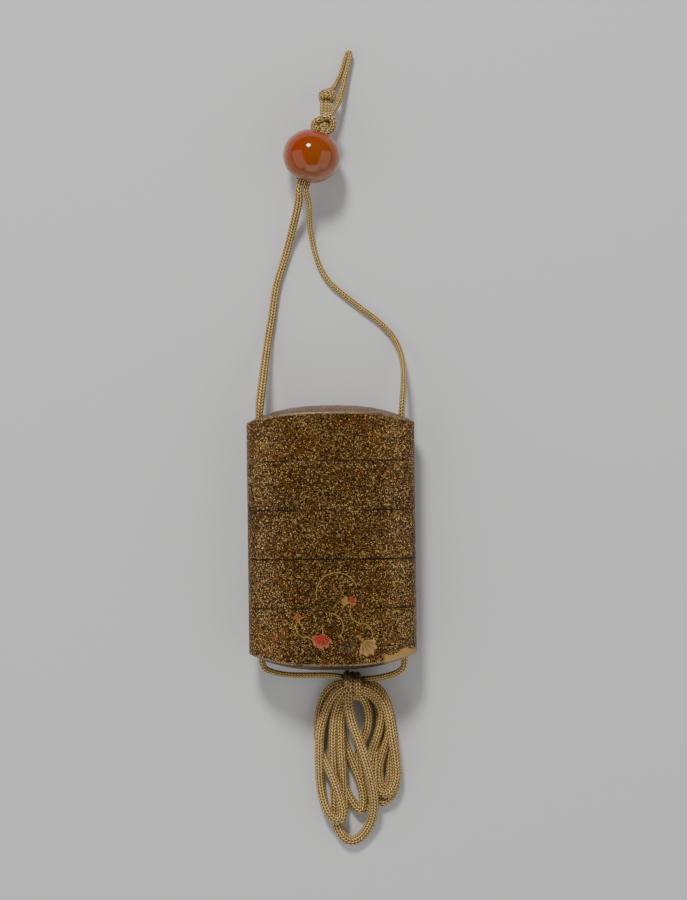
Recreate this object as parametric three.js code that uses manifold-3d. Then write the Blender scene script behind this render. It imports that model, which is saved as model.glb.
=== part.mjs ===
// An inro: a small oval case of a lid and four tiers, strung on one braided silk cord.
// It lies on its back. Millimetres: +X across the case, +Y towards the lid and the bead,
// +Z up out of the front face. The origin is on the surface, under the middle of the case.
import * as THREE from "three";
import { mergeVertices } from "three/addons/utils/BufferGeometryUtils.js";
import Module from "manifold-3d";

// The case
const CASE_LENGTH = 85.1; // crown of the lid to crown of the underside
const HALF_WIDTH = 27;
const HALF_THICKNESS = 11;
const OVAL_POWER = 2.2; // 2 is an ellipse, and more has flatter faces
const FLAT_DEPTH = 0.35; // shaved off the back, so that the case lies without rocking
const AXIS_HEIGHT = HALF_THICKNESS - FLAT_DEPTH;
const END_FALL = 5.5; // from the crown of each end down to its sides
const END_FALL_POWER = 2.6;
const LID_FALL = 2.35; // from the crown to the front edge
const BASE_FALL = 1.85;
const TIERS = 4;
const TOP_SEAM = 24.6;
const SEAM_PITCH = 15.65;
const GAP = 0.3; // between pieces that touch
const WALL = 2; // under the domed ends
const FLOOR = 1.5;
const ROOM_HALF_WIDTH = 19; // the compartment inside each piece
const ROOM_HALF_THICKNESS = 8.1;
const RISER_WALL = 0.9;
const RISER_HEIGHT = 3.5;
const CHANNEL_OFFSET = 22.9; // cord channels, from the middle of the case
const CHANNEL_RADIUS = 1.6;
const OVAL_SIDES = 64;
const ROOM_SIDES = 44;
const CHANNEL_SIDES = 12;
const DOME_RINGS = [0, 0.4, 0.65, 0.83, 0.94, 1];
const ROOF_RINGS = [0, 0.55, 0.85, 1];
const FLAT_RINGS = [0, 1];

// The bead
const BEAD_RADIUS = 9.2;
const BEAD_HALF_LENGTH = 8.6;
const BEAD_HOLE_RADIUS = 2.8;
const BEAD_MOUTH_RADIUS = 3.4; // the drilled hole is eased at both ends
const BEAD_CENTRE = new THREE.Vector3(-4.9, 122.9, BEAD_RADIUS);
const BEAD_TURN = -0.28; // of the hole, from +Y, in radians
const BEAD_SIDES = 26;
const BEAD_ARC_STEPS = 12;

// The cord
const LEFT_RADIUS = 1.2;
const RIGHT_RADIUS = 1;
const INSIDE_RADIUS = 1.05;
const BELOW_RADIUS = 0.95;
const LOOP_RADIUS = 0.9;
const STRAND_OFFSET = 1.27; // of each strand from the middle of the bead's hole
const CORD_SIDES = 8;
const CORD_STEP = 4.6; // along the cord, a little over two diameters
const TURN_STEP = 3.7; // the same, where the cord turns under the case
const LOOP_STEP = 2.5; // round the tip of the carrying loop
const INSIDE_END = 38; // the inside runs end here, and the outer runs start a gap further on

// The strand from the lid's left channel to the bead, lying on the surface between them
const LEFT_ABOVE = [
  [-22.9, 38.3, 10.65],
  [-22.6, 43, 10.3],
  [-21.8, 49.5, 8.1],
  [-20.7, 58.2, 4.1],
  [-19.7, 64.9, 1.9],
  [-18.6, 71, 1.3],
  [-16.8, 82, 1.25],
  [-14.4, 89.6, 1.35],
  [-12.4, 96.9, 2.4],
  [-10.9, 103.5, 5],
  [-9.9, 108.8, 7.6],
];
// The strand from the lid's right channel, which swings across towards the left one
const RIGHT_ABOVE = [
  [22.9, 38.3, 10.65],
  [23.2, 42.5, 10.4],
  [23.8, 49.9, 8.1],
  [23.7, 55.5, 5.1],
  [22.6, 60.7, 2.7],
  [20.1, 65.4, 1.4],
  [16, 69.6, 1.05],
  [9.9, 74.4, 1.05],
  [4.7, 78.5, 1.05],
  [0.1, 82.8, 1.05],
  [-2.9, 88, 1.05],
  [-4.9, 94.7, 1.5],
  [-6.1, 101.8, 4],
  [-6.5, 107.6, 7.2],
];
// The strands from the channels under the case to the bow's knot
const LEFT_BELOW = [
  [-22.9, -38.3, 10.65],
  [-22.8, -39.9, 10.55],
  [-21.9, -41.8, 10.2],
  [-19.6, -43, 9.6],
  [-15.9, -43.9, 8.7],
  [-10.8, -44.4, 7.3],
  [-3, -44.6, 5.3],
  [1.5, -45.1, 4.2],
  [3.1, -45.5, 3.8],
];
const RIGHT_BELOW = [
  [22.9, -38.3, 10.65],
  [22.9, -39.9, 10.5],
  [22.6, -41.9, 10],
  [20.9, -43.6, 9],
  [17.2, -45, 7.1],
  [12.2, -46, 4.9],
  [9.6, -46.2, 4],
];
// The carrying loop, from the upper knot round its tip and back to the lower knot
const CARRYING_LOOP = [
  [1.8, 145.5, 3.3],
  [3.6, 147.6, 1.9],
  [5.3, 150.8, 1],
  [6.2, 154, 0.95],
  [6.6, 155.9, 0.95],
  [7.6, 157, 1.5],
  [8.6, 156, 2.1],
  [8.4, 154, 2.2],
  [7.8, 151.3, 2.3],
  [6.8, 148, 2.9],
  [5.7, 144.8, 4.2],
  [4.6, 142.1, 5.6],
  [3.4, 139.3, 6.9],
];
const KNOT_LINK = [
  [0.2, 138.5, 7.2],
  [0.2, 140.9, 5.3],
];

// Knots: each is a roll of turns of cord, given by its middle, its radius, its length and its turns
const LOWER_KNOT = { middle: [0.3, 134.8, 8], radius: 2.3, length: 6.6, turns: 3 };
const UPPER_KNOT = { middle: [0.2, 143.2, 4], radius: 2.4, length: 3.6, turns: 2 };
const BOW_KNOT = { middle: [6.3, -47.7, 3.3], radius: 2.95, length: 8.3, turns: 3 };
const KNOT_SIDES = 14;
const KNOT_CORE = 0.82; // radius between two turns, as a share of the radius on a turn
const KNOT_TURN_STEPS = 4;

// The bow's loops lie in two flat bunches, each from one round end to the other
const LONG_BUNCH = { from: [1.2, -55.2], to: [5.9, -92.4], halfWidth: 8.3 };
const SHORT_BUNCH = { from: [12.9, -53], to: [16.9, -83], halfWidth: 5.3 };
const BUNCH_HEIGHT = 6.6;
const BUNCH_ROUNDING = 1.9;
const BUNCH_ARC_STEPS = 7;
const BUNCH_ROUNDING_STEPS = 2;

const wasm = await Module();
wasm.setup();

const finish = (color, roughness) =>
  new THREE.MeshStandardMaterial({ color, roughness, metalness: 0 });
const LACQUER = { color: 0x5a3d1f, roughness: 0.18 };
const AGATE = { color: 0x9c3c12, roughness: 0.1 };
const SILK = { color: 0xa08a5c, roughness: 0.8 };

// A closed geometry as a solid that can be cut and joined.
function solidOf(geometry) {
  const bare = geometry.clone();
  bare.deleteAttribute("normal");
  bare.deleteAttribute("uv");
  const merged = mergeVertices(bare, 1e-4);
  return new wasm.Manifold(
    new wasm.Mesh({
      numProp: 3,
      vertProperties: merged.getAttribute("position").array,
      triVerts: new Uint32Array(merged.index.array),
    }),
  );
}

function geometryOf(solid) {
  const mesh = solid.getMesh();
  const geometry = new THREE.BufferGeometry();
  geometry.setAttribute("position", new THREE.BufferAttribute(mesh.vertProperties, 3));
  geometry.setIndex(new THREE.BufferAttribute(mesh.triVerts, 1));
  geometry.computeVertexNormals();
  return geometry;
}

function namedMesh(name, geometry, { color, roughness }) {
  const mesh = new THREE.Mesh(geometry, finish(color, roughness));
  mesh.name = name;
  return mesh;
}

// The oval outlines, from the outside of the case inwards.
const OUTSIDE = {
  halfWidth: HALF_WIDTH,
  halfThickness: HALF_THICKNESS,
  back: -AXIS_HEIGHT,
  sides: OVAL_SIDES,
};
const roomGrownBy = (margin) => ({
  halfWidth: ROOM_HALF_WIDTH + margin,
  halfThickness: ROOM_HALF_THICKNESS + margin,
  back: -Infinity,
  sides: ROOM_SIDES,
});
const ROOM = roomGrownBy(0);
const RISER = roomGrownBy(RISER_WALL);
const SOCKET = roomGrownBy(RISER_WALL + GAP);

const rounded = (value) => Math.sign(value) * Math.abs(value) ** (2 / OVAL_POWER);

// Each end of an oval solid is flat or domed: rings of points, and their height by place.
const flatEnd = (height) => ({ rings: FLAT_RINGS, heightAt: () => height });
const domeDrop = (x, z, fall) =>
  END_FALL * Math.abs(x / HALF_WIDTH) ** END_FALL_POWER + fall * (z / HALF_THICKNESS) ** 2;
const lidDome = (rings, depth) => ({
  rings,
  heightAt: (x, z) => CASE_LENGTH / 2 - depth - domeDrop(x, z, LID_FALL),
});
const baseDome = (rings, depth) => ({
  rings,
  heightAt: (x, z) => depth - CASE_LENGTH / 2 + domeDrop(x, z, BASE_FALL),
});

// A solid of oval section along Y: a turned drum of radius 1, with each point moved to its place.
function ovalSolid(oval, lowerEnd, upperEnd) {
  const profile = [
    ...lowerEnd.rings.map((ring) => new THREE.Vector2(ring, 0)),
    ...upperEnd.rings.toReversed().map((ring) => new THREE.Vector2(ring, 1)),
  ];
  const drum = new THREE.LatheGeometry(profile, oval.sides);
  const position = drum.getAttribute("position");
  const point = new THREE.Vector3();
  for (let i = 0; i < position.count; i += 1) {
    point.fromBufferAttribute(position, i);
    const ring = Math.hypot(point.x, point.z);
    const across = ring > 0 ? rounded(point.x / ring) : 0;
    const outward = ring > 0 ? rounded(point.z / ring) : 0;
    const x = ring * oval.halfWidth * across;
    const z = ring * Math.max(oval.halfThickness * outward, oval.back);
    const end = point.y < 0.5 ? lowerEnd : upperEnd;
    position.setXYZ(i, x, end.heightAt(x, z), z);
  }
  return solidOf(drum);
}

const channel = (side) =>
  solidOf(
    new THREE.CylinderGeometry(
      CHANNEL_RADIUS,
      CHANNEL_RADIUS,
      CASE_LENGTH,
      CHANNEL_SIDES,
    ).translate(side * CHANNEL_OFFSET, 0, 0),
  );

const seamAbove = (tier) => TOP_SEAM - (tier - 1) * SEAM_PITCH;

// The hollow in the foot of a piece, which the riser of the piece below stands in.
const socketAt = (foot) =>
  ovalSolid(SOCKET, flatEnd(foot - 1), flatEnd(foot + RISER_HEIGHT));

function lidSolid() {
  const foot = TOP_SEAM + GAP / 2;
  return ovalSolid(OUTSIDE, flatEnd(foot), lidDome(DOME_RINGS, 0))
    .subtract(ovalSolid(ROOM, flatEnd(foot), lidDome(ROOF_RINGS, WALL)))
    .subtract(socketAt(foot))
    .subtract(channel(-1))
    .subtract(channel(1));
}

function tierSolid(tier) {
  const lowest = tier === TIERS;
  const rim = seamAbove(tier) - GAP / 2;
  const foot = seamAbove(tier + 1) + GAP / 2;
  const riserTop = rim + RISER_HEIGHT;
  const outerEnd = lowest ? baseDome(DOME_RINGS, 0) : flatEnd(foot);
  const floor = lowest
    ? baseDome(ROOF_RINGS, WALL)
    : flatEnd(foot + RISER_HEIGHT + FLOOR);
  const walls = ovalSolid(OUTSIDE, outerEnd, flatEnd(rim))
    .add(ovalSolid(RISER, flatEnd(rim - RISER_HEIGHT), flatEnd(riserTop)))
    .subtract(ovalSolid(ROOM, floor, flatEnd(riserTop + 1)))
    .subtract(channel(-1))
    .subtract(channel(1));
  return lowest ? walls : walls.subtract(socketAt(foot));
}

// A round bead on its hole, turned about Y: down the outside's arc, then back up the hole.
function beadGeometry() {
  const mouth = Math.acos(BEAD_MOUTH_RADIUS / BEAD_RADIUS);
  const profile = [];
  for (let i = 0; i <= BEAD_ARC_STEPS; i += 1) {
    const angle = mouth * (1 - (2 * i) / BEAD_ARC_STEPS);
    profile.push(
      new THREE.Vector2(BEAD_RADIUS * Math.cos(angle), BEAD_HALF_LENGTH * Math.sin(angle)),
    );
  }
  const easing = BEAD_MOUTH_RADIUS - BEAD_HOLE_RADIUS;
  const holeEnd = BEAD_HALF_LENGTH * Math.sin(mouth) - easing;
  profile.push(new THREE.Vector2(BEAD_HOLE_RADIUS, -holeEnd));
  profile.push(new THREE.Vector2(BEAD_HOLE_RADIUS, holeEnd));
  profile.push(profile[0].clone());
  return new THREE.LatheGeometry(profile.toReversed(), BEAD_SIDES);
}

// A knot as a roll of turns, about Y, closed on its axis at both ends.
function knotGeometry({ middle, radius, length, turns }) {
  const profile = [new THREE.Vector2(0, -length / 2)];
  const steps = turns * KNOT_TURN_STEPS;
  for (let i = 0; i <= steps; i += 1) {
    const share = i / steps;
    const swell = Math.abs(Math.sin(Math.PI * turns * share));
    const across = radius * (KNOT_CORE + (1 - KNOT_CORE) * swell);
    const shoulder = i === 0 || i === steps ? 0.55 : 1;
    profile.push(new THREE.Vector2(across * shoulder, length * (share - 0.5) * 0.98));
  }
  profile.push(new THREE.Vector2(0, length / 2));
  return new THREE.LatheGeometry(profile, KNOT_SIDES).translate(...middle);
}

// A stretch of cord along a smooth curve through the points.
function cordTube(name, points, radius, step) {
  const path = new THREE.CatmullRomCurve3(points.map((point) => new THREE.Vector3(...point)));
  const section = new THREE.Shape().absarc(0, 0, radius, 0, 2 * Math.PI);
  const geometry = new THREE.ExtrudeGeometry(section, {
    steps: Math.max(1, Math.round(path.getLength() / step)),
    curveSegments: CORD_SIDES / 2,
    bevelEnabled: false,
    extrudePath: path,
  });
  return namedMesh(name, geometry, SILK);
}

// The straight run of a strand through the bead, from just before its hole to the far end.
function throughBead(side) {
  const along = new THREE.Vector3(-Math.sin(BEAD_TURN), Math.cos(BEAD_TURN), 0);
  const across = new THREE.Vector3(along.y, -along.x, 0);
  return [-BEAD_HALF_LENGTH - 2.5, -BEAD_HALF_LENGTH, 0, BEAD_HALF_LENGTH - GAP].map((s) =>
    BEAD_CENTRE.clone()
      .addScaledVector(along, s)
      .addScaledVector(across, side * STRAND_OFFSET)
      .toArray(),
  );
}

const insideRun = (side) => [
  [side * CHANNEL_OFFSET, -INSIDE_END, AXIS_HEIGHT],
  [side * CHANNEL_OFFSET, INSIDE_END, AXIS_HEIGHT],
];

// One flat bunch of the bow's loops: a slab with two round ends and softened edges.
function bunchSolid({ from, to, halfWidth }) {
  const run = Math.hypot(to[0] - from[0], to[1] - from[1]);
  const turn = Math.atan2(to[0] - from[0], from[1] - to[1]);
  const outline = new THREE.Shape()
    .absarc(0, -run, halfWidth, Math.PI, 2 * Math.PI)
    .absarc(0, 0, halfWidth, 0, Math.PI);
  const slab = new THREE.ExtrudeGeometry(outline, {
    depth: BUNCH_HEIGHT - 2 * BUNCH_ROUNDING,
    curveSegments: BUNCH_ARC_STEPS,
    bevelThickness: BUNCH_ROUNDING,
    bevelSize: BUNCH_ROUNDING,
    bevelOffset: -BUNCH_ROUNDING,
    bevelSegments: BUNCH_ROUNDING_STEPS,
  });
  return solidOf(slab.rotateZ(turn).translate(from[0], from[1], BUNCH_ROUNDING));
}

// Both bunches as one, with room left for the knot that they spring from.
function hankSolid() {
  const { middle, radius, length } = BOW_KNOT;
  const room = new THREE.BoxGeometry(
    2 * (radius + GAP),
    length + 2 * GAP,
    2 * BUNCH_HEIGHT,
  ).translate(...middle);
  return bunchSolid(LONG_BUNCH).add(bunchSolid(SHORT_BUNCH)).subtract(solidOf(room));
}

const caseGroup = new THREE.Group();
caseGroup.position.z = AXIS_HEIGHT;
caseGroup.add(namedMesh("lid", geometryOf(lidSolid()), LACQUER));
for (let tier = 1; tier <= TIERS; tier += 1)
  caseGroup.add(namedMesh(`tier_${tier}`, geometryOf(tierSolid(tier)), LACQUER));

const bead = namedMesh("ojime_bead", beadGeometry(), AGATE);
bead.position.copy(BEAD_CENTRE);
bead.rotation.z = BEAD_TURN;

const cordGroup = new THREE.Group();
cordGroup.add(
  cordTube("cord_left_above", [...LEFT_ABOVE, ...throughBead(-1)], LEFT_RADIUS, CORD_STEP),
  cordTube("cord_right_above", [...RIGHT_ABOVE, ...throughBead(1)], RIGHT_RADIUS, CORD_STEP),
  cordTube("cord_left_inside", insideRun(-1), INSIDE_RADIUS, CASE_LENGTH),
  cordTube("cord_right_inside", insideRun(1), INSIDE_RADIUS, CASE_LENGTH),
  cordTube("cord_left_below", LEFT_BELOW, BELOW_RADIUS, TURN_STEP),
  cordTube("cord_right_below", RIGHT_BELOW, BELOW_RADIUS, TURN_STEP),
  cordTube("netsuke_loop", CARRYING_LOOP, LOOP_RADIUS, LOOP_STEP),
  cordTube("knot_link", KNOT_LINK, LOOP_RADIUS, CORD_STEP),
  namedMesh("lower_knot", knotGeometry(LOWER_KNOT), SILK),
  namedMesh("upper_knot", knotGeometry(UPPER_KNOT), SILK),
  namedMesh("bow_knot", knotGeometry(BOW_KNOT), SILK),
  namedMesh("bow_hank", geometryOf(hankSolid()), SILK),
);

const inro = new THREE.Group();
inro.add(caseGroup, bead, cordGroup);

export default inro;
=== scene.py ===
"""Looks for an inro: a lacquered oval case of a lid and four tiers, an agate bead and a silk cord.

The packed model is the frame. Every length is in metres, +X runs across the case, +Y towards the
lid and the bead, and +Z up out of the front face. The case lies on its back on the floor.
"""

import math

import bpy
import numpy as np
from bpy.props import FloatProperty, FloatVectorProperty, IntProperty, PointerProperty
from mathutils import Matrix, Vector


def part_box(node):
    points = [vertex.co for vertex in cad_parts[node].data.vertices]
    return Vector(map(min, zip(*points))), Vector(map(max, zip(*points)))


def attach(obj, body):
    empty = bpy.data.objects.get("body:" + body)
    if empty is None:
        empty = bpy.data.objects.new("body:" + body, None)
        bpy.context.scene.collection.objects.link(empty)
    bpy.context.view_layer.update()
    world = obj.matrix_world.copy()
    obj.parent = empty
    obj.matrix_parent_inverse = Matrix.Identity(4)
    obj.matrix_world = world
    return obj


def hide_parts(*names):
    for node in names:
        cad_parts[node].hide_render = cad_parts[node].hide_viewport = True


bl_info = {
    "name": "Inro Case",
    "version": (1, 0, 0),
    "blender": (4, 5, 0),
    "location": "View3D > Sidebar > Inro",
    "description": "Lacquered inro case with its bead, braided cord and bow",
    "category": "Object",
}

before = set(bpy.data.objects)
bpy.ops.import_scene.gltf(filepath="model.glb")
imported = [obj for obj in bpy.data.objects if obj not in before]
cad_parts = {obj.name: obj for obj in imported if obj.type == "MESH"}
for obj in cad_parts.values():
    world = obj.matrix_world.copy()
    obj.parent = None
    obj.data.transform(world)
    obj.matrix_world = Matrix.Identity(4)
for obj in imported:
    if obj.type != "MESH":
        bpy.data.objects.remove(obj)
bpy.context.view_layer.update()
MM = 0.001
BODY = "root"


# ---------------------------------------------------------------- the case's form, in millimetres
HALF_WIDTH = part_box("lid")[1][0] / MM
HALF_THICKNESS = 11.0
CASE_LENGTH = 85.1
AXIS_HEIGHT = 10.65
OVAL_POWER = 2.2
OVAL_SIDES = 240
# How far both ends fall towards the sides, and each of them towards the front and back
END_FALL = 5.5
END_FALL_POWER = 2.6
LID_FALL = 2.35
BASE_FALL = 1.85
# Rings of an end's dome and of a room's domed floor, as shares of the outline
DOME_RINGS = (0.1, 0.3, 0.5, 0.65, 0.78, 0.87, 0.93, 0.965)
ROOM_RINGS = (0.15, 0.5, 0.8, 1.0)
DOME_INSET = 0.9
# Rings of a tier's flat floor, as shares of the room's outline and heights above the floor
FLOOR_RINGS = ((1, 0.5), (0.985, 0.1), (0.96, 0), (0.3, 0))
# Rounded edges: how many steps round a corner, and the first flat ring beside it
CORNER_STEPS = 5
CORNER_MARGIN = 0.25
TIERS = 4
TOP_SEAM = 24.6
SEAM_PITCH = 15.65
SEAMS = (0.07, 0.06, 0.17, 0.03)
# Half of a room's section, and what stands round it
ROOM = (19.0, 8.1)
WALL = 2.0
FLOOR = 1.5
RISER_WALL = 0.9
RISER_HEIGHT = 3.5
RISER_CHAMFER = 0.12
SOCKET_GAP = 0.3
CHANNEL_OFFSET = 22.9
CHANNEL_SIDES = 40
# A channel's mouth: how far inside it, and how much wider the channel is there
CHANNEL_MOUTH = ((0.9, 0), (0.35, 0.2), (0, 0.55))
CHANNEL_OVERRUN = (3, 3.6)
# Where the lacquer of the outside ends
CHANNEL_REACH = 1.75
DOME_START = 37
SHARP_EDGE = 32

# ---------------------------------------------------------------- the bead, in millimetres
BEAD_CENTRE = (-4.95, 122.75, 9.34)
BEAD_TURN = -0.28
BEAD_LIP = 0.6
BEAD_RINGS = 73
BEAD_LIP_RINGS = 7
BEAD_SIDES = 144
BEAD_SHARP_EDGE = 40
# How far a strand runs from the hole's axis, and where it is given points along the hole
STRAND_OFFSET = 1.15
BEAD_STOPS = (-11.1, -8.6, 0, 7.6)

# ---------------------------------------------------------------- camera and floor
CAMERA_LENS = 124.44
CAMERA_PLACE = (4.14, 28.05, 1010.65)
CAMERA_TURN = -0.7
FLOOR_REACH = 2.0
FLOOR_DROP = 0.1

# ---------------------------------------------------------------- the painted spray
PAINTED_GOLD = (0.5, 0.31, 0.08)
FRONT_STARTS = (12.5, 13.0)
TENDRIL_WIDTH = 0.16
# Each tendril is part of a ring: its centre, radius, the angle it faces and half of its sweep
TENDRILS = (
    ((1.5, -17.5), 6.6, 1.9, 1.55),
    ((-0.9, -28.1), 4.3, 0.35, 1.25),
    ((-8.4, -28.2), 3.3, 3.0, 1.5),
    ((-8.6, -34.1), 2.7, 0.9, 0.9),
    ((9.6, -23.2), 4.1, 3.5, 1.0),
    ((9.2, -30.6), 3.4, 0.7, 1.1),
)
# Each leaf's foot, turn, reach, spread, lobes, colour (or None for the red) and strength
LEAVES = (
    ((-3.2, -30.6), -1.75, 4.6, 1.35, 5, None, 0.92),
    ((5.1, -20.6), 0.4, 2.7, 1.1, 3, None, 0.9),
    ((5.0, -20.4), 2.7, 2.3, 1.1, 3, (0.5, 0.3, 0.08), 0.8),
    ((9.4, -32.6), -0.9, 5.6, 1.05, 5, (0.52, 0.3, 0.09), 0.88),
    ((3.6, -32.6), -1.2, 4.4, 1.1, 5, (0.045, 0.036, 0.026), 0.4),
    ((-10.9, -25.9), 1.9, 2.1, 1.0, 3, (0.4, 0.13, 0.04), 0.8),
)

# ---------------------------------------------------------------- cord routes, in millimetres
# Spacing of the points along a cord, a knot's turn and the path that a cord states
CORD_STEP = 0.3
TURN_STEP = 0.2
PATH_STEP = 0.9
# Spacing of a braid's rings, and how many points are in each
BRAID_STEP = 0.15
BRAID_SIDES = 40
# Share of the relief that lies inside the cord's stated radius
STITCH_SUNK = 0.6
# How far a cord in the bow lies above the floor at least
BOW_CLEARANCE = 0.08

# Each point is across, along, up and the cord's radius there
LEFT_STRAND = [
    (5.6, -46.4, 3.4, 0.92), (3.1, -45.5, 3.8, 0.92), (1.5, -45.1, 4.2, 0.92),
    (-3, -44.6, 5.3, 0.9), (-10.8, -44.4, 7.3, 0.88), (-15.9, -43.9, 8.7, 0.88),
    (-19.6, -43, 9.6, 0.9), (-21.9, -41.8, 10.2, 0.95), (-22.8, -39.9, 10.55, 1),
    (-22.9, -38, 10.65, 1.05), (-22.9, 0, 10.65, 1.05), (-22.9, 38, 10.65, 1.1),
    (-22.6, 43, 10.3, 1.38), (-21.8, 49.5, 8.1, 1.42), (-20.7, 58.2, 4.1, 1.34),
    (-19.7, 64.9, 1.9, 1.28), (-18.6, 71, 1.4, 1.26), (-16.8, 82, 1.36, 1.24),
    (-14.4, 89.6, 1.42, 1.22), (-12.3, 96.9, 2.4, 1.24), (-10.5, 103.5, 5, 1.28),
    (-9.3, 108.8, 7.6, 1.32),
]
RIGHT_STRAND = [
    (7, -46.9, 3.5, 0.95), (9.6, -46.2, 4, 0.98), (12.2, -46, 4.9, 1), (17.2, -45, 7.1, 1.02),
    (20.9, -43.6, 9, 1.02), (22.6, -41.9, 10, 1), (22.9, -39.9, 10.5, 1),
    (22.9, -38, 10.65, 1.05), (22.9, 0, 10.65, 1.05), (22.9, 38, 10.65, 1.02),
    (23.2, 42.5, 10.4, 1), (23.8, 49.9, 8.1, 0.96), (23.7, 55.5, 5.1, 0.92),
    (22.6, 60.7, 2.7, 0.9), (20.1, 65.4, 1.4, 0.88), (16, 69.6, 1, 0.87), (9.9, 74.4, 1, 0.87),
    (4.7, 78.5, 1, 0.87), (0.1, 82.8, 1, 0.87), (-2.9, 88, 1, 0.87), (-4.9, 94.7, 1.5, 0.87),
    (-5.9, 101.8, 4, 0.88), (-6, 107.6, 7.2, 0.88),
]
# From the bead's hole, where the cord has one radius, into the lower knot
LEFT_STRAND_END = [(-4.1, 131.2, 9, 1), (-3.8, 132.5, 8.8, 1), (-2.9, 133.1, 8, 0.95)]
RIGHT_STRAND_END = [(-0.8, 131.6, 8.7, 0.88), (0.2, 132.4, 8.3, 0.88)]
STRANDS = (
    ("left", -1, LEFT_STRAND, 1.15, LEFT_STRAND_END),
    ("right", 1, RIGHT_STRAND, 0.88, RIGHT_STRAND_END),
)

# From the lower knot, up through the upper knot, round the tip and back to the lower knot
CARRYING_LOOP = [
    (-0.2, 134.3, 6.6, 0.85), (-1, 135.5, 7.2, 0.8), (-1.4, 137.2, 6.9, 0.72),
    (-1.4, 139.2, 6.2, 0.72), (-1.3, 141.2, 5.6, 0.74), (-0.8, 143.2, 4.8, 0.8),
    (0.5, 144.5, 3.6, 0.8), (1.7, 144.9, 2.6, 0.76), (2.7, 146.1, 1.9, 0.74),
    (3.7, 148, 1.3, 0.72), (4.6, 149.8, 1.05, 0.72), (5.3, 151.9, 0.95, 0.72),
    (6, 154.1, 0.95, 0.72), (6.7, 156, 1, 0.74), (7.1, 156.9, 1.3, 0.74),
    (7.7, 156.9, 1.8, 0.76), (7.9, 156, 2, 0.76), (7.5, 154, 2.05, 0.76),
    (6.9, 151.6, 2.1, 0.82), (6.3, 149.3, 2.2, 0.88), (5.8, 147, 2.5, 0.95),
    (5.2, 144.7, 3, 0.96), (4.5, 142.1, 3.9, 0.94), (3.6, 139.9, 5, 0.92), (2.6, 137.9, 6.2, 0.9),
    (1.6, 136.2, 7, 0.86), (0.9, 134.6, 7, 0.84),
]
LINK_STRANDS = [
    [(-0.2, 135.8, 7.4, 0.68), (-0.1, 138.5, 6.6, 0.68), (-0.1, 140.8, 6.1, 0.68),
     (-0.1, 142.8, 5.4, 0.68)],
    [(0.9, 135.8, 7.2, 0.6), (0.95, 138.5, 6.3, 0.6), (0.95, 140.8, 5.8, 0.6),
     (0.9, 142.9, 5, 0.6)],
]

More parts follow.
